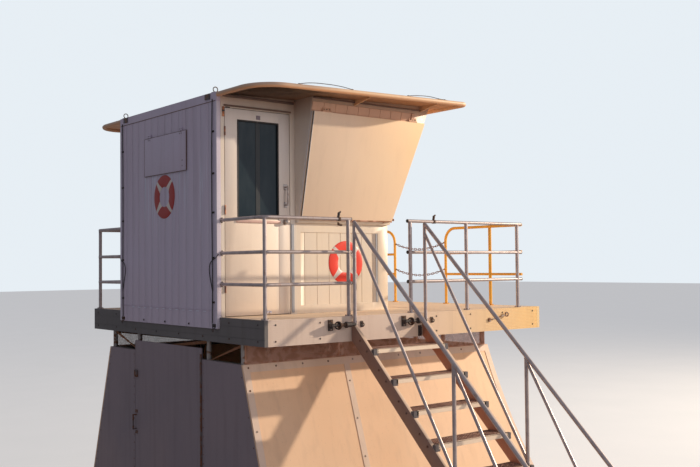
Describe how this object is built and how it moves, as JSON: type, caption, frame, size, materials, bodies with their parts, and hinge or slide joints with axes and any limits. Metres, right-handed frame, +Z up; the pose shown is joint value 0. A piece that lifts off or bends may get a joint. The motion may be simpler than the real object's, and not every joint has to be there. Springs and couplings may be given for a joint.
{
  "type": "lifeguard tower",
  "caption": "Moulded lifeguard cabin with flared, shuttered windows on a railed deck over a sloping panelled base, with a steel stair.",
  "frame": {"origin": "on the ground under the middle of the base, at the centre of the cross sill's underside", "axes": "+Z up, +X towards the sea side, -Y towards the stair"},
  "size_m": [3.9063, 6.71, 4.9213],
  "materials": {
    "frame_steel": "weathered paint",
    "galvanised_steel": "dull galvanised",
    "rusty_steel": "rusted",
    "base_shell": "weathered",
    "deck_wood": "weathered",
    "dark_paint": "weathered paint",
    "cream_paint": "weathered paint",
    "cabin_shell": "weathered gel coat",
    "roof_shell": "weathered gel coat",
    "door_shell": "weathered gel coat",
    "dark_glass": "tinted",
    "fitting_steel": "worn",
    "yellow_paint": "worn paint",
    "tread_steel": "galvanised grating",
    "stringer_paint": "weathered paint",
    "black_cable": "matte"
  },
  "bodies": {
    "tower": {"base_sill": "frame_steel", "base_top_ring": "frame_steel", "base_studs": "frame_steel", "base_stubs": "galvanised_steel", "base_braces": "rusty_steel", "base_panels_side": "base_shell", "base_panel_front": "base_shell", "base_panels_back": "base_shell", "base_trim": "cream_paint", "deck_beams": "frame_steel", "deck_joists": "deck_wood", "deck_floor": "deck_wood", "fascia_ends": "dark_paint", "fascia_sides": "cream_paint", "wall_back": "cabin_shell", "door_jambs": "cabin_shell", "wall_over_door": "cabin_shell", "wall_far_rear": "cabin_shell", "walls_side_low": "cabin_shell", "wall_front_low": "cabin_shell", "flare_near": "cabin_shell", "flare_far": "cabin_shell", "flare_front": "cabin_shell", "shutter_near": "roof_shell", "shutter_far": "roof_shell", "shutter_front": "roof_shell", "shutter_hinges": "cream_paint", "roof": "roof_shell", "roof_gussets": "roof_shell", "roof_band": "cabin_shell", "back_hatch": "cabin_shell", "rail_near_rear": "galvanised_steel", "rail_near_fore": "galvanised_steel", "rail_far": "galvanised_steel", "front_rails": "yellow_paint", "front_chains": "rusty_steel", "stair_stringers": "stringer_paint", "stair_treads": "tread_steel", "stair_rail_left": "galvanised_steel", "stair_rail_right": "galvanised_steel", "stair_hooks": "dark_paint", "lifting_eyes": "rusty_steel", "hold_down_cables": "black_cable"},
    "cabin_door": {"cabin_door": "door_shell", "door_glass": "dark_glass", "door_fittings": "fitting_steel"},
    "base_door": {"base_door": "base_shell", "base_door_fittings": "rusty_steel"}
  },
  "joints": [
    {"name": "cabin_door_hinge", "type": "hinge", "parent": "tower", "child": "cabin_door", "pos_m": [-1.878, -1.0773, 3.625], "axis": [0, 0, -1], "range_deg": [0, 65]},
    {"name": "base_door_hinge", "type": "hinge", "parent": "tower", "child": "base_door", "pos_m": [-1.9288, -0.6865, 1.1], "axis": [0, 0, 1], "range_deg": [0, 100]}
  ]
}
